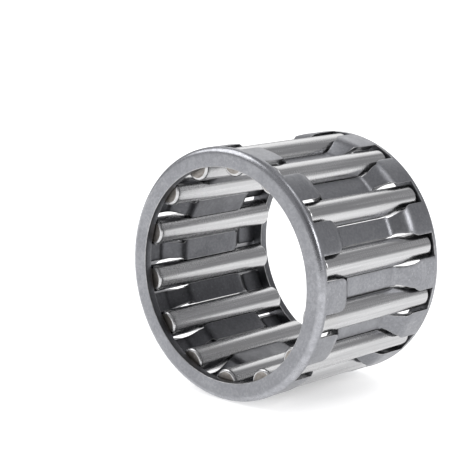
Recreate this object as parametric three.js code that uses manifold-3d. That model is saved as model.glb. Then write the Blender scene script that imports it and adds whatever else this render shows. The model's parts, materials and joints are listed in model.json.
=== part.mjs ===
// Needle roller and cage assembly: a pierced sheet steel cage with one loose needle in each window.
//
// Millimetres, +Z up. The bearing axis is +Y and the origin is on that axis, half way along the bearing.
// The bearing lies on its side. Angles about the axis run from +X towards +Z.

import * as THREE from 'three';
import { mergeVertices } from 'three/addons/utils/BufferGeometryUtils.js';
import Module from 'manifold-3d';

const wasm = await Module();
wasm.setup();

// ---- Driving dimensions ----

const shaftDiameter = 25; // the shaft that the needles run on
const needleDiameter = 3.5;
const needleLength = 20.8;
const needleEndRadius = 0.4; // rounding where a needle's side meets its end face
const needleCount = 14;
const needleDrop = 0.35; // with no shaft inside, the needles lie this much nearer to the axis
const firstNeedleAngle = THREE.MathUtils.degToRad(114.4);

const cageOuterRadius = 15.8;
const cageWidth = 23.4;
const flangeInnerRadius = 13.4; // the end rings' inner edge
const sheetThickness = 1.0;
const rimCornerRadius = 0.5; // outer corner of each end ring
const middleOuterRadius = 13.9; // outer skin of a bar at half length
const middleHalfLength = 4.7; // the bar is at its innermost level up to here
const padInnerEnd = 7.0; // from here to the end ring the bar is at the rim's level
const bendRadius = 0.8; // outside radius of the bends beside each slope

const runningGap = 0.3; // between the cage and a needle that runs on its shaft
const lipGap = 0.2; // between a dropped needle and the lips that keep it from falling out
const slopeGap = 0.45; // beside the slopes the windows are a little wider

// ---- Sizes that follow from them ----

const needleRadius = needleDiameter / 2;
const runningRadius = shaftDiameter / 2 + needleRadius; // the needles' centres, on the shaft
const pitchRadius = runningRadius - needleDrop; // the same, with no shaft inside
const needlePitch = (2 * Math.PI) / needleCount;
const pocketHalfLength = needleLength / 2 + runningGap;
const flangeInnerFace = cageWidth / 2 - sheetThickness;

const slopeAngle = Math.atan2(cageOuterRadius - middleOuterRadius, padInnerEnd - middleHalfLength);
const bendShift = sheetThickness * Math.tan(slopeAngle / 2); // how far a bend's inside corner lies along the axis

// ---- Fineness of the facets ----

const cageSteps = needleCount * 6;
const needleSteps = 24;
const cornerSteps = 2;

// ---- Materials ----

function cageSteel() {
  return new THREE.MeshStandardMaterial({ color: 0x74757a, roughness: 0.45, metalness: 0.9 });
}

function needleSteel() {
  return new THREE.MeshStandardMaterial({ color: 0xb9babd, roughness: 0.22, metalness: 1.0 });
}

// ---- Outlines: points are (radius, place along the axis) ----

// The arc that rounds the corner between two neighbours, or the corner itself when its radius is 0.
function roundedCorner(before, corner, after, radius) {
  if (radius === 0) return [corner];
  const toBefore = before.clone().sub(corner).normalize();
  const toAfter = after.clone().sub(corner).normalize();
  const halfAngle = Math.acos(toBefore.dot(toAfter)) / 2;
  const towardsCentre = toBefore.clone().add(toAfter).normalize();
  const centre = corner.clone().addScaledVector(towardsCentre, radius / Math.sin(halfAngle));
  const tangentLength = radius / Math.tan(halfAngle);
  const from = corner.clone().addScaledVector(toBefore, tangentLength).sub(centre);
  const sweep = Math.PI - 2 * halfAngle;
  const turn = Math.sign(from.cross(corner.clone().addScaledVector(toAfter, tangentLength).sub(centre)));
  const points = [];
  for (let i = 0; i <= cornerSteps; i++) {
    const angle = (turn * sweep * i) / cornerSteps;
    points.push(from.clone().rotateAround(new THREE.Vector2(0, 0), angle).add(centre));
  }
  return points;
}

// Corners are [radius, place along the axis, rounding]; the outline closes on itself.
function closedOutline(corners) {
  const points = corners.map(([radius, along]) => new THREE.Vector2(radius, along));
  const count = points.length;
  const outline = corners.flatMap(([, , rounding], i) =>
    roundedCorner(points[(i + count - 1) % count], points[i], points[(i + 1) % count], rounding)
  );
  outline.push(outline[0].clone());
  return outline;
}

// The cage wall's section: a ring flange, the rim, a slope inwards, the middle, and the same again mirrored.
function cageOutline() {
  const endFace = cageWidth / 2;
  const rimInside = cageOuterRadius - sheetThickness;
  const middleInside = middleOuterRadius - sheetThickness;
  const outerSkin = [
    [middleOuterRadius, middleHalfLength, 0],
    [cageOuterRadius, padInnerEnd, bendRadius],
    [cageOuterRadius, endFace, rimCornerRadius],
    [flangeInnerRadius, endFace, 0],
  ];
  const innerSkin = [
    [flangeInnerRadius, flangeInnerFace, 0],
    [rimInside, flangeInnerFace, 0],
    [rimInside, padInnerEnd + bendShift, 0],
    [middleInside, middleHalfLength + bendShift, bendRadius],
  ];
  const half = [...outerSkin, ...innerSkin];
  const mirrored = half.map(([radius, along, rounding]) => [radius, -along, rounding]).reverse();
  return closedOutline([...half, ...mirrored]);
}

// ---- Solids ----

function toManifold(geometry) {
  const bare = geometry.clone();
  bare.deleteAttribute('normal');
  bare.deleteAttribute('uv');
  const merged = mergeVertices(bare);
  const mesh = new wasm.Mesh({
    numProp: 3,
    vertProperties: new Float32Array(merged.attributes.position.array),
    triVerts: new Uint32Array(merged.index.array),
  });
  return new wasm.Manifold(mesh);
}

function toGeometry(solid) {
  const mesh = solid.getMesh();
  const geometry = new THREE.BufferGeometry();
  geometry.setAttribute('position', new THREE.BufferAttribute(mesh.vertProperties, 3));
  geometry.setIndex(new THREE.BufferAttribute(mesh.triVerts, 1));
  return geometry;
}

// A round room of the given radius for one needle, with its centre at the given distance from the axis.
function roundRoom(angle, radius, distance) {
  const room = new THREE.CylinderGeometry(radius, radius, 2 * pocketHalfLength, needleSteps);
  room.translate(distance, 0, 0);
  room.rotateY(-angle);
  return toManifold(room);
}

// The room for one needle, running and dropped, which leaves the lips that hold it in on both sides.
function needleRoom(angle) {
  const running = roundRoom(angle, needleRadius + runningGap, runningRadius);
  const dropped = roundRoom(angle, needleRadius + lipGap, pitchRadius);
  return running.add(dropped);
}

// The wider part of a window beside one pair of slopes, cut straight through along the radius.
// side is +1 for the slopes towards +Y and -1 for those towards -Y.
function slopeRoom(angle, side) {
  const wide = needleRadius + slopeGap;
  const narrow = needleRadius - runningGap;
  const taper = wide - narrow;
  const outline = new THREE.Shape([
    new THREE.Vector2(-wide, middleHalfLength + bendShift),
    new THREE.Vector2(-narrow, middleHalfLength + bendShift - taper),
    new THREE.Vector2(narrow, middleHalfLength + bendShift - taper),
    new THREE.Vector2(wide, middleHalfLength + bendShift),
    new THREE.Vector2(wide, padInnerEnd + bendShift),
    new THREE.Vector2(narrow, padInnerEnd + bendShift + taper),
    new THREE.Vector2(-narrow, padInnerEnd + bendShift + taper),
    new THREE.Vector2(-wide, padInnerEnd + bendShift),
  ]);
  const depth = 2 * needleDiameter;
  const room = new THREE.ExtrudeGeometry(outline, { depth, bevelEnabled: false });
  room.translate(0, 0, runningRadius - depth / 2);
  if (side < 0) room.rotateZ(Math.PI);
  room.rotateY(Math.PI / 2 - angle);
  return toManifold(room);
}

function makeCage() {
  let solid = toManifold(new THREE.LatheGeometry(cageOutline(), cageSteps));
  for (let i = 0; i < needleCount; i++) {
    const angle = firstNeedleAngle - i * needlePitch;
    solid = solid.subtract(needleRoom(angle));
    solid = solid.subtract(slopeRoom(angle, 1)).subtract(slopeRoom(angle, -1));
  }
  const cage = new THREE.Mesh(toGeometry(solid), cageSteel());
  cage.name = 'cage';
  return cage;
}

function needleOutline() {
  const half = needleLength / 2;
  const axisEnd = new THREE.Vector2(0, half);
  const corner = new THREE.Vector2(needleRadius, half);
  const below = new THREE.Vector2(needleRadius, 0);
  const upper = [axisEnd, ...roundedCorner(axisEnd, corner, below, needleEndRadius)];
  const lower = upper.map((point) => new THREE.Vector2(point.x, -point.y));
  return [...lower, ...upper.reverse()];
}

function makeNeedle(number) {
  const angle = firstNeedleAngle - (number - 1) * needlePitch;
  const needle = new THREE.Mesh(new THREE.LatheGeometry(needleOutline(), needleSteps), needleSteel());
  needle.name = `needle_${String(number).padStart(2, '0')}`;
  needle.position.set(pitchRadius * Math.cos(angle), 0, pitchRadius * Math.sin(angle));
  return needle;
}

// ---- The assembly ----

const bearing = new THREE.Group();
bearing.add(makeCage());
for (let number = 1; number <= needleCount; number++) {
  bearing.add(makeNeedle(number));
}

export default bearing;
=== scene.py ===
"""A needle roller and cage assembly on a white table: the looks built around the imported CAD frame.

Metres throughout, in the CAD's own frame: the bearing's axis is +Y, the origin is the bearing's centre
and +Z is up. Angles about the axis run from +X towards +Z.
"""

import json
import math

import bmesh
import bpy
from mathutils import Matrix, Vector


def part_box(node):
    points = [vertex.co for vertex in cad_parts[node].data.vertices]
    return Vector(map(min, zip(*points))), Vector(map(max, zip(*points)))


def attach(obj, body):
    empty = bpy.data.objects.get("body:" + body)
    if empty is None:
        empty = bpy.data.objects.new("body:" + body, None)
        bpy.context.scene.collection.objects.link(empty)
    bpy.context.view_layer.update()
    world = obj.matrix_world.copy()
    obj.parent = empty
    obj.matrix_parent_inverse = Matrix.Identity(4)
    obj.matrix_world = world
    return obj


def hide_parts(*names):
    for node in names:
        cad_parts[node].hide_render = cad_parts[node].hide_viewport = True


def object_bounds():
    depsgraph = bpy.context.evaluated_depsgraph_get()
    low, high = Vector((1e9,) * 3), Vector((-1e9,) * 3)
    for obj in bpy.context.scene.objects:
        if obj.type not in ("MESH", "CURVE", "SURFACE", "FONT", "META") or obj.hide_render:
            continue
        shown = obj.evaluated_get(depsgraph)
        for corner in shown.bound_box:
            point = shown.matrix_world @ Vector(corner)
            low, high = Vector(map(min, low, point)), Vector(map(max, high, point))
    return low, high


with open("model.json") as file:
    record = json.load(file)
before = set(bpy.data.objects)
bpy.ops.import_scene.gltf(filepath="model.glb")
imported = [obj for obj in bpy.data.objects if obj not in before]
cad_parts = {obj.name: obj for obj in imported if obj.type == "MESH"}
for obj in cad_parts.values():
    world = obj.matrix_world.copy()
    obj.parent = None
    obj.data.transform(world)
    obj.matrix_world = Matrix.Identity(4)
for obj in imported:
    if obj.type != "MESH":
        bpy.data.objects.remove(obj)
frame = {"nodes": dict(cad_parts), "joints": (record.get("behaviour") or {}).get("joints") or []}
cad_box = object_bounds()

MM = 0.001

# ---- Sizes read from the frame ----

CAGE_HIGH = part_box("cage")[1]
CAGE_RADIUS = CAGE_HIGH.x
CAGE_HALF_WIDTH = CAGE_HIGH.y
NEEDLES = sorted(name for name in frame["nodes"] if name != "cage")
NEEDLE_CENTRES = {joint["child"]: Vector(joint["pos_m"]) for joint in frame["joints"]}
NEEDLE_LOW, NEEDLE_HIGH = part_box(NEEDLES[0])
NEEDLE_RADIUS = (NEEDLE_HIGH.z - NEEDLE_LOW.z) / 2
NEEDLE_HALF_LENGTH = NEEDLE_HIGH.y
FIRST_CENTRE = NEEDLE_CENTRES[NEEDLES[0]]
PITCH_RADIUS = FIRST_CENTRE.length
PITCH_ANGLE = 2 * math.pi / len(NEEDLES)
FLOOR_HEIGHT = cad_box[0].z

# ---- Sizes of the cage wall, as in the CAD ----

SHEET = 1.0 * MM
FLANGE_INNER_RADIUS = 13.4 * MM
MIDDLE_OUTER_RADIUS = 13.9 * MM
MIDDLE_HALF_LENGTH = 4.7 * MM
PAD_INNER_END = 7.0 * MM
NEEDLE_DROP = 0.35 * MM  # with no shaft inside, the needles lie this much nearer to the axis
RUNNING_RADIUS = PITCH_RADIUS + NEEDLE_DROP

# ---- Room round a needle, closer than in the CAD except beside the pads ----

PAD_GAP = 0.34 * MM
LIP_GAP = 0.12 * MM
SLOPE_GAP = 0.2 * MM
END_GAP = 0.22 * MM
POCKET_HALF_LENGTH = NEEDLE_HALF_LENGTH + END_GAP
PAD_CORNER = 1.2 * MM  # length of the rounding at each corner of a pad

# ---- Roundings: a bend's inside is tighter than this by the sheet's thickness ----

RIM_CORNER = 0.85 * MM
PAD_BEND = 2.4 * MM
MIDDLE_BEND = 2.3 * MM
SHEARED_EDGE = 0.07 * MM
NEEDLE_END_ROUNDING = 0.36 * MM

# ---- Fineness of the meshes ----

BAR_COLUMNS = 10
WINDOW_COLUMNS = 8
WALL_ROWS = 4
ARC_STEPS = 8
SHEARED_EDGE_STEPS = 3
BAR_RUN_STEPS = (24, 3, 20)  # along a bar: the pad, the slope and half of the middle
RING_RUN_STEPS = (4, 2)  # across an end ring: its face, then its rim
NEEDLE_COLUMNS = 96
END_FACE_SHARES = (0.25, 0.5, 0.7)  # rings of points on a needle's end, as shares of its radius
NEEDLE_SIDE_SHARES = (0.96, 0.7, 0.4)  # and on its side, as shares of the way out to the rounding
SHARP_ANGLE = math.radians(35)

# ---- The camera, in cage radii and degrees ----

CAMERA_AZIMUTH = 42.25
CAMERA_ELEVATION = 11.2
CAMERA_ROLL = 0.96
CAMERA_DISTANCE = 13.3
CENTRE_RIGHT_OF_VIEW = 0.400
CENTRE_BELOW_VIEW = 0.218
CAMERA_LENS_MM = 126.4
SENSOR_MM = 36.0
CLIP_START = 5 * MM

# ---- Colours of the steel: each finish runs from a dark to a light shade ----

OUTSIDE_SHADES = ((0.294, 0.298, 0.317), (0.326, 0.330, 0.349))
# the cage's inside: the same steel made darker, painted shade where shade falls inside the cage
INSIDE_PAINTED_SHADE_TONES = ((0.138, 0.140, 0.150), (0.166, 0.168, 0.179))
EDGE_SHADES = ((0.36, 0.365, 0.375), (0.52, 0.52, 0.52))
NEEDLE_SHADES = ((0.48, 0.48, 0.485), (0.60, 0.60, 0.605))
NEEDLE_STAIN = (0.50, 0.49, 0.475)
NEEDLE_END_SHADES = ((0.235, 0.215, 0.196), (0.350, 0.330, 0.310))
PITTED = 0.6  # pits in the sheet, as a share of its dark shade
POLISHED = 1.4  # rubbed spots on the sheet, as a share of its light shade
RUB_REACH = 0.6  # the rim is rubbed fully bright this near its sharp corner, in RIM_CORNERs

# ---- Brightness of the surroundings ----

ROOM_GREY = (0.39, 0.39, 0.40)
WALL_WHITE = (1.4, 1.4, 1.4)
DARK_SIDE = (0.16, 0.16, 0.165)
HORIZON_WHITE = (0.88, 0.88, 0.88)
TABLE_WHITE = (0.8, 0.8, 0.8)
# the glow under the bearing is lower: painted shadow
TABLE_GLOW_IN_PAINTED_SHADOW = 0.40
TABLE_GLOW_BESIDE = 0.70
TABLE_GLOW_FAR = 0.84
# the painted shadow in the table's glow ends here
PAINTED_SHADOW_REACH = 1.35 * CAGE_RADIUS  # the table has its glow beside the bearing from here on
GLOW_RISE = (3 * CAGE_RADIUS, 20 * CAGE_RADIUS)  # and rises to its far glow over this stretch
TABLE_REACH = 4.0
SOFTBOX_DISTANCE = 0.7


# ---- Small helpers ----

def smooth_step(value, start, end):
    """0 before start, 1 after end and a smooth ramp in between."""
    t = min(1.0, max(0.0, (value - start) / (end - start)))
    return t * t * (3 - 2 * t)


def around_axis(radius, along, angle):
    return Vector((radius * math.cos(angle), along, radius * math.sin(angle)))


def towards(azimuth, elevation):
    """Unit vector for angles in degrees. Azimuth 0 is towards -Y and 90 is towards +X."""
    azimuth, elevation = math.radians(azimuth), math.radians(elevation)
    level = math.cos(elevation)
    return Vector((math.sin(azimuth) * level, -math.cos(azimuth) * level, math.sin(elevation)))


def rounded_corner(before, corner, after, radius):
    """Points of the arc that rounds a corner of a flat outline."""
    to_before = (before - corner).normalized()
    to_after = (after - corner).normalized()
    half_angle = math.acos(to_before.dot(to_after)) / 2
    centre = corner + (to_before + to_after).normalized() * (radius / math.sin(half_angle))
    first = corner + to_before * (radius / math.tan(half_angle)) - centre
    last = corner + to_after * (radius / math.tan(half_angle)) - centre
    sweep = math.pi - 2 * half_angle
    points = []
    for i in range(ARC_STEPS + 1):
        t = i / ARC_STEPS
        blend = (first * math.sin((1 - t) * sweep) + last * math.sin(t * sweep)) / math.sin(sweep)
        points.append(centre + blend)
    return points


def bent_path(corners, run_steps):
    """Points along a bent line with corners (radius, along, rounding) and steps for each straight run."""
    points = [Vector((radius, along)) for radius, along, _ in corners]
    path = [points[0]]
    for i, (_, _, rounding) in enumerate(corners[1:], start=1):
        arc = [points[i]]
        if rounding:
            arc = rounded_corner(points[i - 1], points[i], points[i + 1], rounding)
        start = path[-1]
        steps = run_steps[i - 1]
        path += [start.lerp(arc[0], step / steps) for step in range(1, steps)]
        path += arc
    return path


def new_piece(name, mesh, body):
    piece = bpy.data.objects.new(name, mesh)
    bpy.context.scene.collection.objects.link(piece)
    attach(piece, body)
    return piece


def weight_normals(piece):
    """Keeps the broad faces flat in the shading, so that only roundings look round."""
    normals = piece.modifiers.new("normals", "WEIGHTED_NORMAL")
    normals.keep_sharp = True


# ---- The cage: one sheet, bent and pierced ----

def round_room_edge(radius, distance, room):
    """Angle from a window's middle to where a round room, centred at that distance, meets a radius."""
    reach = (radius ** 2 + distance ** 2 - room ** 2) / (2 * distance)
    return math.acos(min(1.0, reach / radius))


def before_pad_corner(distance):
    """1 beside the slopes and 0 beside the pads, with a quarter circle in between."""
    t = min(1.0, max(0.0, (distance - PAD_INNER_END) / PAD_CORNER))
    return 1 - math.sqrt(1 - (1 - t) ** 2)


def window_edge(radius, along):
    """Angle about the bearing axis from a window's middle to its edge."""
    distance = abs(along)
    beside_lips = round_room_edge(radius, PITCH_RADIUS, NEEDLE_RADIUS + LIP_GAP)
    beside_pads = round_room_edge(radius, RUNNING_RADIUS, NEEDLE_RADIUS + PAD_GAP)
    beside_slope = math.asin((NEEDLE_RADIUS + SLOPE_GAP) / radius)
    widened = beside_pads + max(0.0, beside_slope - beside_pads) * before_pad_corner(distance)
    on_slope = smooth_step(distance, MIDDLE_HALF_LENGTH - SLOPE_GAP, MIDDLE_HALF_LENGTH + SLOPE_GAP)
    return max(beside_lips, widened * on_slope)


# material slots: the outside sheet, the inside sheet darkened as painted shade, and the worn edges
OUTER_FINISH, INNER_PAINTED_SHADE, EDGE_FINISH = range(3)


class CageMesh:
    """Builds the cage as matching skins. An end is -1 for the ring towards -Y and 1 for the other."""

    def __init__(self):
        self.mesh = bmesh.new()
        first_angle = math.atan2(FIRST_CENTRE.z, FIRST_CENTRE.x)
        self.bar_centres = [first_angle + (i + 0.5) * PITCH_ANGLE for i in range(len(NEEDLES))]
        self.outer, self.inner = self.wall_paths()
        self.bars = [self.bar(centre) for centre in self.bar_centres]
        for end in (-1, 1):
            self.end_ring(end)
        bmesh.ops.recalc_face_normals(self.mesh, faces=self.mesh.faces)
        self.mark_sharp_edges()

    def mark_sharp_edges(self):
        """Outside corners will be rounded by the bevel. Inside corners stay sharp."""
        weight = self.mesh.edges.layers.float.new("bevel_weight_edge")
        for edge in self.mesh.edges:
            if edge.calc_face_angle() < SHARP_ANGLE:
                continue
            if edge.is_convex:
                edge[weight] = 1.0
            else:
                edge.smooth = False

    def wall_paths(self):
        """A bar's outer and inner skin, from the window's end at -Y to the one at +Y, point for point."""
        rim_inside = CAGE_RADIUS - SHEET
        middle_inside = MIDDLE_OUTER_RADIUS - SHEET
        drop = CAGE_RADIUS - MIDDLE_OUTER_RADIUS
        slope_angle = math.atan2(drop, PAD_INNER_END - MIDDLE_HALF_LENGTH)
        shift = SHEET * math.tan(slope_angle / 2)
        outer = [
            (CAGE_RADIUS, -POCKET_HALF_LENGTH, 0),
            (CAGE_RADIUS, -PAD_INNER_END, PAD_BEND),
            (MIDDLE_OUTER_RADIUS, -MIDDLE_HALF_LENGTH, MIDDLE_BEND - SHEET),
            (MIDDLE_OUTER_RADIUS, 0, 0),
        ]
        inner = [
            (rim_inside, -POCKET_HALF_LENGTH, 0),
            (rim_inside, -PAD_INNER_END - shift, PAD_BEND - SHEET),
            (middle_inside, -MIDDLE_HALF_LENGTH - shift, MIDDLE_BEND),
            (middle_inside, 0, 0),
        ]
        halves = [bent_path(corners, BAR_RUN_STEPS) for corners in (outer, inner)]
        mirrored = [[Vector((p.x, -p.y)) for p in reversed(half[:-1])] for half in halves]
        return halves[0] + mirrored[0], halves[1] + mirrored[1]

    def vertex(self, point, angle):
        return self.mesh.verts.new(around_axis(point.x, point.y, angle))

    def quads(self, first_row, second_row, finish):
        for i in range(len(first_row) - 1):
            corners = (first_row[i], first_row[i + 1], second_row[i + 1], second_row[i])
            self.mesh.faces.new(corners).material_index = finish

    def closed_quads(self, first_row, second_row, finish):
        self.quads(first_row + first_row[:1], second_row + second_row[:1], finish)

    def across_bar(self, point, centre, half):
        """New points from one edge of a bar to the other."""
        step = 2 * half / BAR_COLUMNS
        return [self.vertex(point, centre - half + step * c) for c in range(BAR_COLUMNS + 1)]

    def across_window(self, point, centre, half):
        """New points over the window after a bar of that half width, without the bars' own points."""
        step = (PITCH_ANGLE - 2 * half) / WINDOW_COLUMNS
        return [self.vertex(point, centre + half + step * c) for c in range(1, WINDOW_COLUMNS)]

    def bar(self, centre):
        """One cross bar. Returns its rows at each station: the two skins and the two side walls."""
        stations = []
        for outer, inner in zip(self.outer, self.inner):
            rows = []
            for row in range(WALL_ROWS + 1):
                point = inner.lerp(outer, row / WALL_ROWS)
                half = PITCH_ANGLE / 2 - window_edge(point.x, point.y)
                if row in (0, WALL_ROWS):
                    rows.append(self.across_bar(point, centre, half))
                else:
                    rows.append([self.vertex(point, centre - half), self.vertex(point, centre + half)])
            stations.append({
                "inner": rows[0],
                "outer": rows[-1],
                "low_side": [row[0] for row in rows],
                "high_side": [row[-1] for row in rows],
            })
        for here, there in zip(stations, stations[1:]):
            for part in here:
                # the inner skin and the side walls take the darker sheet that paints the shade inside the
                # cage
                self.quads(here[part], there[part], OUTER_FINISH if part == "outer" else INNER_PAINTED_SHADE)
        return stations

    def ring_row(self, point, bar_edge, share):
        """A full circle of an end ring, with even columns at share 0 and the bars' columns at share 1."""
        row = []
        for centre in self.bar_centres:
            half = (PITCH_ANGLE / 2 - bar_edge) * share + PITCH_ANGLE / 4 * (1 - share)
            row += self.across_bar(point, centre, half)
            row += self.across_window(point, centre, half)
        return row

    def joined_row(self, end, level):
        """The circle where an end ring meets the bars: their end points, and new ones over the windows."""
        station = 0 if end < 0 else -1
        point = (self.inner if level == "inner" else self.outer)[station]
        half = PITCH_ANGLE / 2 - window_edge(point.x, point.y)
        row = []
        for bar, centre in zip(self.bars, self.bar_centres):
            row += bar[station][level]
            row += self.across_window(point, centre, half)
        return row

    def end_ring(self, end):
        """The flange and rim at one end, and the walls that close the windows there."""
        skins = {
            "outer": [
                (FLANGE_INNER_RADIUS, end * CAGE_HALF_WIDTH, 0),
                (CAGE_RADIUS, end * CAGE_HALF_WIDTH, RIM_CORNER),
                (CAGE_RADIUS, end * POCKET_HALF_LENGTH, 0),
            ],
            "inner": [
                (FLANGE_INNER_RADIUS, end * POCKET_HALF_LENGTH, 0),
                (CAGE_RADIUS - SHEET, end * POCKET_HALF_LENGTH, 0),
            ],
        }
        bore_edges = []
        joined = {}
        for level, corners in skins.items():
            path = bent_path(corners, RING_RUN_STEPS)[:-1]
            bar_edge = window_edge(corners[-1][0], corners[-1][1])
            rows = [self.ring_row(point, bar_edge, i / len(path)) for i, point in enumerate(path)]
            joined[level] = self.joined_row(end, level)
            rows.append(joined[level])
            for here, there in zip(rows, rows[1:]):
                self.closed_quads(here, there, OUTER_FINISH if level == "outer" else INNER_PAINTED_SHADE)
            bore_edges.append(rows[0])
        self.closed_quads(*bore_edges, INNER_PAINTED_SHADE)
        self.window_ends(end, joined)

    def window_ends(self, end, joined):
        """The end wall of each window, between the inner and the outer skin."""
        station = 0 if end < 0 else -1
        columns = BAR_COLUMNS + WINDOW_COLUMNS
        for i, (bar, centre) in enumerate(zip(self.bars, self.bar_centres)):
            next_bar = self.bars[(i + 1) % len(self.bars)]
            start = i * columns + BAR_COLUMNS + 1
            rows = []
            for row in range(WALL_ROWS + 1):
                first = bar[station]["high_side"][row]
                last = next_bar[station]["low_side"][row]
                if row in (0, WALL_ROWS):
                    level = joined["inner"] if row == 0 else joined["outer"]
                    middle = level[start:start + WINDOW_COLUMNS - 1]
                else:
                    point = Vector((math.hypot(first.co.x, first.co.z), first.co.y))
                    half = PITCH_ANGLE / 2 - window_edge(point.x, point.y)
                    middle = self.across_window(point, centre, half)
                rows.append([first, *middle, last])
            for here, there in zip(rows, rows[1:]):
                self.quads(here, there, INNER_PAINTED_SHADE)


def round_sheared_edges(piece):
    """Breaks the sharp edges that the punch leaves, and gives them the worn finish."""
    bevel = piece.modifiers.new("edges", "BEVEL")
    bevel.limit_method = "WEIGHT"
    bevel.width = SHEARED_EDGE
    bevel.segments = SHEARED_EDGE_STEPS
    bevel.use_clamp_overlap = True
    bevel.material = EDGE_FINISH


def make_cage():
    mesh = bpy.data.meshes.new("cage_sheet")
    CageMesh().mesh.to_mesh(mesh)
    mesh.shade_smooth()
    mesh.materials.append(sheet_steel("tumbled_sheet_steel", OUTSIDE_SHADES))
    # the inside faces get a darker copy of the sheet: painted shade
    mesh.materials.append(sheet_steel("inside_painted_shade_sheet_steel", INSIDE_PAINTED_SHADE_TONES))
    mesh.materials.append(worn_edge_steel())
    piece = new_piece("cage_sheet", mesh, "cage")
    round_sheared_edges(piece)
    weight_normals(piece)
    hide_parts("cage")


# ---- The needles ----

def needle_outline():
    """A needle's side view from the middle of one end face to the other, and the steps across a face."""
    middle = Vector((0, NEEDLE_HALF_LENGTH))
    corner = Vector((NEEDLE_RADIUS, NEEDLE_HALF_LENGTH))
    below = Vector((NEEDLE_RADIUS, 0))
    face = [middle.lerp(corner, share) for share in END_FACE_SHARES]
    arc = rounded_corner(middle, corner, below, NEEDLE_END_ROUNDING)
    body = [below.lerp(arc[-1], share) for share in NEEDLE_SIDE_SHARES]
    upper = face + arc + body
    lower = [Vector((p.x, -p.y)) for p in reversed(upper)]
    return upper + [below] + lower, len(face)


def needle_mesh(name):
    """A round needle: material 0 on its side and roundings, material 1 on its flat ends."""
    outline, face_steps = needle_outline()
    centre = NEEDLE_CENTRES[name]
    mesh = bmesh.new()
    rows = []
    for point in outline:
        angles = [2 * math.pi * c / NEEDLE_COLUMNS for c in range(NEEDLE_COLUMNS)]
        rows.append([mesh.verts.new(centre + around_axis(point.x, point.y, angle)) for angle in angles])
    last = len(rows) - 1
    for i in range(last):
        on_end_face = i < face_steps or i >= last - face_steps
        for c in range(NEEDLE_COLUMNS):
            n = (c + 1) % NEEDLE_COLUMNS
            face = mesh.faces.new((rows[i][c], rows[i][n], rows[i + 1][n], rows[i + 1][c]))
            face.material_index = 1 if on_end_face else 0
    for row, side in ((rows[0], 1), (rows[-1], -1)):
        pole = mesh.verts.new(centre + Vector((0, side * NEEDLE_HALF_LENGTH, 0)))
        for c in range(NEEDLE_COLUMNS):
            face = mesh.faces.new((row[c], row[(c + 1) % NEEDLE_COLUMNS], pole))
            face.material_index = 1
    bmesh.ops.recalc_face_normals(mesh, faces=mesh.faces)
    data = bpy.data.meshes.new(name + "_ground")
    mesh.to_mesh(data)
    data.shade_smooth()
    return data


def make_needles():
    side, end_face = ground_steel(), end_face_steel()
    for name in NEEDLES:
        mesh = needle_mesh(name)
        mesh.materials.append(side)
        mesh.materials.append(end_face)
        piece = new_piece(name + "_ground", mesh, name)
        weight_normals(piece)
        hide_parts(name)


# ---- Materials: grain sizes and depths in millimetres ----

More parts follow.
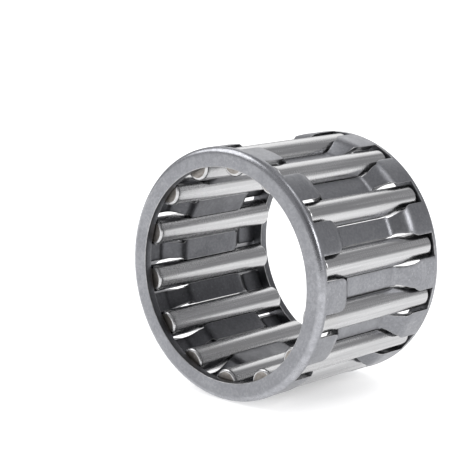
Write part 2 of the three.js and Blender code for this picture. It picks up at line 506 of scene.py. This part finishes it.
class Nodes:
    """A material's node tree, with short calls for the nodes used here."""

    def __init__(self, name):
        self.material = bpy.data.materials.new(name)
        self.material.use_nodes = True
        self.tree = self.material.node_tree
        self.shader = self.tree.nodes["Principled BSDF"]
        self.shader.inputs["Metallic"].default_value = 1.0
        self.place = self.tree.nodes.new("ShaderNodeTexCoord").outputs["Object"]

    def link(self, source, target):
        """Sets a socket to another node's output, or to a number."""
        if isinstance(source, (int, float)):
            target.default_value = source
        else:
            self.tree.links.new(source, target)

    def noise(self, grain, turn=(0, 0, 0), detail=3.0, roughness=0.5):
        """Clouds from 0 to 1. grain is their size in mm: one number, or one each along X, Y and Z."""
        sizes = grain if isinstance(grain, tuple) else (grain, grain, grain)
        mapping = self.tree.nodes.new("ShaderNodeMapping")
        mapping.inputs["Scale"].default_value = [1 / (size * MM) for size in sizes]
        mapping.inputs["Rotation"].default_value = turn
        self.link(self.place, mapping.inputs["Vector"])
        node = self.tree.nodes.new("ShaderNodeTexNoise")
        node.inputs["Scale"].default_value = 1.0
        node.inputs["Detail"].default_value = detail
        node.inputs["Roughness"].default_value = roughness
        self.link(mapping.outputs["Vector"], node.inputs["Vector"])
        return node.outputs["Fac"]

    def ramp(self, value, low, high, to_low=0.0, to_high=1.0):
        """Values from low to high, moved to run from to_low to to_high and held there outside."""
        node = self.tree.nodes.new("ShaderNodeMapRange")
        node.interpolation_type = "SMOOTHSTEP"
        node.inputs["From Min"].default_value = low
        node.inputs["From Max"].default_value = high
        node.inputs["To Min"].default_value = to_low
        node.inputs["To Max"].default_value = to_high
        self.link(value, node.inputs["Value"])
        return node.outputs["Result"]

    def math(self, operation, first, second=0.0):
        node = self.tree.nodes.new("ShaderNodeMath")
        node.operation = operation
        self.link(first, node.inputs[0])
        self.link(second, node.inputs[1])
        return node.outputs["Value"]

    def mix(self, share, first, second):
        """A mix of two colours, each given as numbers or as another node's output."""
        node = self.tree.nodes.new("ShaderNodeMix")
        node.data_type = "RGBA"
        self.link(share, node.inputs["Factor"])
        colour_sockets = [socket for socket in node.inputs if socket.type == "RGBA"]
        for socket, value in zip(colour_sockets, (first, second)):
            if isinstance(value, tuple):
                socket.default_value = (*value, 1.0)
            else:
                self.link(value, socket)
        return next(socket for socket in node.outputs if socket.type == "RGBA")

    def bump(self, height, depth, before=None):
        """Adds bumps of the given depth in mm, on top of those made before."""
        node = self.tree.nodes.new("ShaderNodeBump")
        node.inputs["Distance"].default_value = depth * MM
        self.link(height, node.inputs["Height"])
        if before is not None:
            self.link(before, node.inputs["Normal"])
        return node.outputs["Normal"]

    def rim_corner(self):
        """1 on the rounded outer corners of the cage's two end rings, 0 elsewhere."""
        split = self.tree.nodes.new("ShaderNodeSeparateXYZ")
        self.link(self.place, split.inputs["Vector"])
        x, y, z = (split.outputs[axis] for axis in "XYZ")
        squares = self.math("ADD", self.math("MULTIPLY", x, x), self.math("MULTIPLY", z, z))
        reach = self.math("ADD", self.math("SQRT", squares), self.math("ABSOLUTE", y))
        sharp_corner = CAGE_RADIUS + CAGE_HALF_WIDTH
        return self.ramp(reach, sharp_corner - RIM_CORNER, sharp_corner - RUB_REACH * RIM_CORNER)

    def finish(self, colour, roughness, normal):
        self.link(colour, self.shader.inputs["Base Color"])
        self.link(roughness, self.shader.inputs["Roughness"])
        self.link(normal, self.shader.inputs["Normal"])
        return self.material


def shaded(colour, factor):
    return tuple(factor * value for value in colour)


def sheet_steel(name, shades):
    """Cold-rolled sheet: cloudy and finely pitted, with nicks, scratches and rubbed rim corners."""
    nodes = Nodes(name)
    dark, light = shades
    pitted, polished = shaded(dark, PITTED), shaded(light, POLISHED)
    clouds = nodes.noise(grain=2.6)
    peel = nodes.noise(grain=0.65, detail=2)
    grain = nodes.noise(grain=0.16, roughness=0.6)
    pit_noise = nodes.noise(grain=0.34, roughness=0.7)
    nick_noise = nodes.noise(grain=0.3, detail=1)
    scratch_noise = nodes.noise(grain=(0.09, 2.4, 0.5), turn=(0.5, 0.3, 0.9), detail=1)
    rub_noise = nodes.noise(grain=0.8, detail=5, roughness=0.65)

    pits = nodes.ramp(pit_noise, low=0.40, high=0.62, to_low=0.38, to_high=0)
    nicks = nodes.ramp(nick_noise, low=0.66, high=0.74)
    scratches = nodes.ramp(scratch_noise, low=0.72, high=0.80)
    rubbed = nodes.ramp(rub_noise, low=0.38, high=0.66, to_low=0.4, to_high=0.85)
    rim = nodes.math("MULTIPLY", nodes.rim_corner(), rubbed)

    body = nodes.mix(nodes.ramp(clouds, low=0.35, high=0.68), dark, light)
    body = nodes.mix(pits, body, pitted)
    for marks in (scratches, nicks):
        half_bright = nodes.math("MULTIPLY", marks, 0.5)
        body = nodes.mix(half_bright, body, polished)
    body = nodes.mix(rim, body, polished)

    roughness = nodes.ramp(clouds, low=0.3, high=0.7, to_low=0.39, to_high=0.34)
    fine_roughness = nodes.ramp(grain, low=0.3, high=0.7, to_low=-0.04, to_high=0.04)
    roughness = nodes.math("ADD", roughness, fine_roughness)
    smoothed = nodes.math("MULTIPLY", rim, 0.14)
    roughness = nodes.math("SUBTRACT", roughness, smoothed)

    normal = nodes.bump(peel, depth=0.010)
    normal = nodes.bump(grain, depth=0.004, before=normal)
    normal = nodes.bump(nodes.math("MAXIMUM", nicks, scratches), depth=-0.003, before=normal)
    return nodes.finish(body, roughness, normal)


def worn_edge_steel():
    """The sheared edges of the sheet, rubbed brighter by tumbling."""
    nodes = Nodes("worn_edge_steel")
    wear = nodes.noise(grain=0.4)
    grain = nodes.noise(grain=0.12, detail=2)
    body = nodes.mix(nodes.ramp(wear, low=0.35, high=0.62), *EDGE_SHADES)
    roughness = nodes.ramp(grain, low=0.3, high=0.7, to_low=0.27, to_high=0.36)
    return nodes.finish(body, roughness, nodes.bump(grain, depth=0.003))


def ground_steel():
    """Ground and lapped needle surface: fine rings round the needle and faint streaks along it."""
    nodes = Nodes("ground_needle_steel")
    streaks = nodes.noise(grain=(0.38, 17, 0.38), roughness=0.6)
    rings = nodes.noise(grain=(8, 0.11, 8), roughness=0.6)
    stain_noise = nodes.noise(grain=(3.3, 7.0, 3.3))
    stains = nodes.ramp(stain_noise, low=0.55, high=0.8, to_low=0, to_high=0.4)
    body = nodes.mix(nodes.ramp(streaks, low=0.35, high=0.68), *NEEDLE_SHADES)
    body = nodes.mix(stains, body, NEEDLE_STAIN)
    roughness = nodes.ramp(streaks, low=0.3, high=0.7, to_low=0.20, to_high=0.28)
    ring_roughness = nodes.ramp(rings, low=0.3, high=0.7, to_low=-0.02, to_high=0.03)
    roughness = nodes.math("ADD", roughness, ring_roughness)
    normal = nodes.bump(streaks, depth=0.0012)
    normal = nodes.bump(rings, depth=0.0005, before=normal)
    return nodes.finish(body, roughness, normal)


def end_face_steel():
    """The needle's end: duller, with a brown tint from hardening."""
    nodes = Nodes("needle_end_steel")
    mottle = nodes.noise(grain=0.7, detail=4)
    grain = nodes.noise(grain=0.16, detail=2)
    body = nodes.mix(nodes.ramp(mottle, low=0.35, high=0.65), *NEEDLE_END_SHADES)
    roughness = nodes.ramp(grain, low=0.3, high=0.7, to_low=0.36, to_high=0.5)
    return nodes.finish(body, roughness, nodes.bump(grain, depth=0.004))


def table_white():
    """White table that glows, more so further away. Its glow is lower under the bearing: a painted soft
    shadow, on top of the real shadow that its lit face catches.
    """
    nodes = Nodes("white_table")
    distance = nodes.tree.nodes.new("ShaderNodeVectorMath")
    distance.operation = "LENGTH"
    nodes.link(nodes.place, distance.inputs[0])
    away = distance.outputs["Value"]
    # lower glow under the bearing: painted shadow, rising to the glow beside it
    beside = nodes.ramp(away, CAGE_RADIUS, PAINTED_SHADOW_REACH, TABLE_GLOW_IN_PAINTED_SHADOW, TABLE_GLOW_BESIDE)
    far = nodes.ramp(away, *GLOW_RISE, to_high=TABLE_GLOW_FAR - TABLE_GLOW_BESIDE)
    shader = nodes.shader
    nodes.link(nodes.math("ADD", beside, far), shader.inputs["Emission Strength"])
    shader.inputs["Emission Color"].default_value = (1, 1, 1, 1)
    shader.inputs["Base Color"].default_value = (*TABLE_WHITE, 1)
    shader.inputs["Metallic"].default_value = 0
    shader.inputs["Roughness"].default_value = 0.6
    shader.inputs["Specular IOR Level"].default_value = 0.2
    return nodes.material


# ---- Stage, lights and camera ----

def make_floor():
    mesh = bpy.data.meshes.new("table")
    signs = [(-1, -1), (1, -1), (1, 1), (-1, 1)]
    corners = [(x * TABLE_REACH, y * TABLE_REACH, FLOOR_HEIGHT) for x, y in signs]
    mesh.from_pydata(corners, [], [(0, 1, 2, 3)])
    mesh.materials.append(table_white())
    floor = bpy.data.objects.new("table", mesh)
    bpy.context.scene.collection.objects.link(floor)


def brighten_towards(tree, before, direction, full, faded, colour):
    """Blends a colour into the world: all of it within full degrees of a direction, none beyond faded."""
    closeness = tree.nodes.new("ShaderNodeVectorMath")
    closeness.operation = "DOT_PRODUCT"
    closeness.inputs[1].default_value = direction
    share = tree.nodes.new("ShaderNodeMapRange")
    share.interpolation_type = "SMOOTHSTEP"
    share.inputs["From Min"].default_value = math.cos(math.radians(faded))
    share.inputs["From Max"].default_value = math.cos(math.radians(full))
    mix = tree.nodes.new("ShaderNodeMix")
    mix.data_type = "RGBA"
    first, second = (socket for socket in mix.inputs if socket.type == "RGBA")
    if before is None:
        first.default_value = (*ROOM_GREY, 1)
    else:
        tree.links.new(before, first)
    second.default_value = (*colour, 1)
    place = tree.nodes.new("ShaderNodeTexCoord")
    tree.links.new(place.outputs["Generated"], closeness.inputs[0])
    tree.links.new(closeness.outputs["Value"], share.inputs["Value"])
    tree.links.new(share.outputs["Result"], mix.inputs["Factor"])
    return next(socket for socket in mix.outputs if socket.type == "RGBA")


def make_world():
    """A grey room with a bright wall behind on the left, a dark side on the right and a white horizon."""
    world = bpy.data.worlds.new("studio")
    world.use_nodes = True
    tree = world.node_tree
    wall, side, straight_down = towards(-147, 33), towards(52, 24), towards(0, -90)
    room = brighten_towards(tree, None, wall, full=8, faded=28, colour=WALL_WHITE)
    room = brighten_towards(tree, room, side, full=12, faded=38, colour=DARK_SIDE)
    room = brighten_towards(tree, room, straight_down, full=90, faded=99, colour=HORIZON_WHITE)
    tree.links.new(room, tree.nodes["Background"].inputs["Color"])
    bpy.context.scene.world = world


def add_softbox(name, azimuth, elevation, size, brightness):
    """A square soft light aimed at the bearing, with brightness as seen in a mirror."""
    light = bpy.data.lights.new(name, "AREA")
    light.shape = "SQUARE"
    light.size = size
    light.energy = brightness * math.pi * size ** 2
    lamp = bpy.data.objects.new(name, light)
    direction = towards(azimuth, elevation)
    lamp.location = direction * SOFTBOX_DISTANCE
    lamp.rotation_mode = "QUATERNION"
    lamp.rotation_quaternion = direction.to_track_quat("Z", "Y")
    bpy.context.scene.collection.objects.link(lamp)


def make_lights():
    add_softbox("key_softbox", azimuth=-60, elevation=44, size=0.50, brightness=2.3)
    add_softbox("right_softbox", azimuth=98, elevation=29, size=0.25, brightness=4.6)
    add_softbox("high_softbox", azimuth=122, elevation=66, size=0.26, brightness=1.6)


def make_camera():
    back = towards(CAMERA_AZIMUTH, CAMERA_ELEVATION)
    level_right = towards(CAMERA_AZIMUTH + 90, 0)
    roll = Matrix.Rotation(math.radians(CAMERA_ROLL), 3, back)
    right = roll @ level_right
    up = roll @ back.cross(level_right)
    camera = bpy.data.objects.new("camera", bpy.data.cameras.new("camera"))
    camera.data.lens = CAMERA_LENS_MM
    camera.data.sensor_width = SENSOR_MM
    camera.data.clip_start = CLIP_START
    place = back * CAMERA_DISTANCE - right * CENTRE_RIGHT_OF_VIEW + up * CENTRE_BELOW_VIEW
    axes = Matrix((right, up, back)).transposed()
    camera.matrix_world = Matrix.Translation(place * CAGE_RADIUS) @ axes.to_4x4()
    bpy.context.scene.collection.objects.link(camera)
    bpy.context.scene.camera = camera


# ---- The scene ----

make_camera()
make_world()
make_lights()
make_floor()
make_cage()
make_needles()

bpy.context.scene.view_settings.view_transform = "Standard"
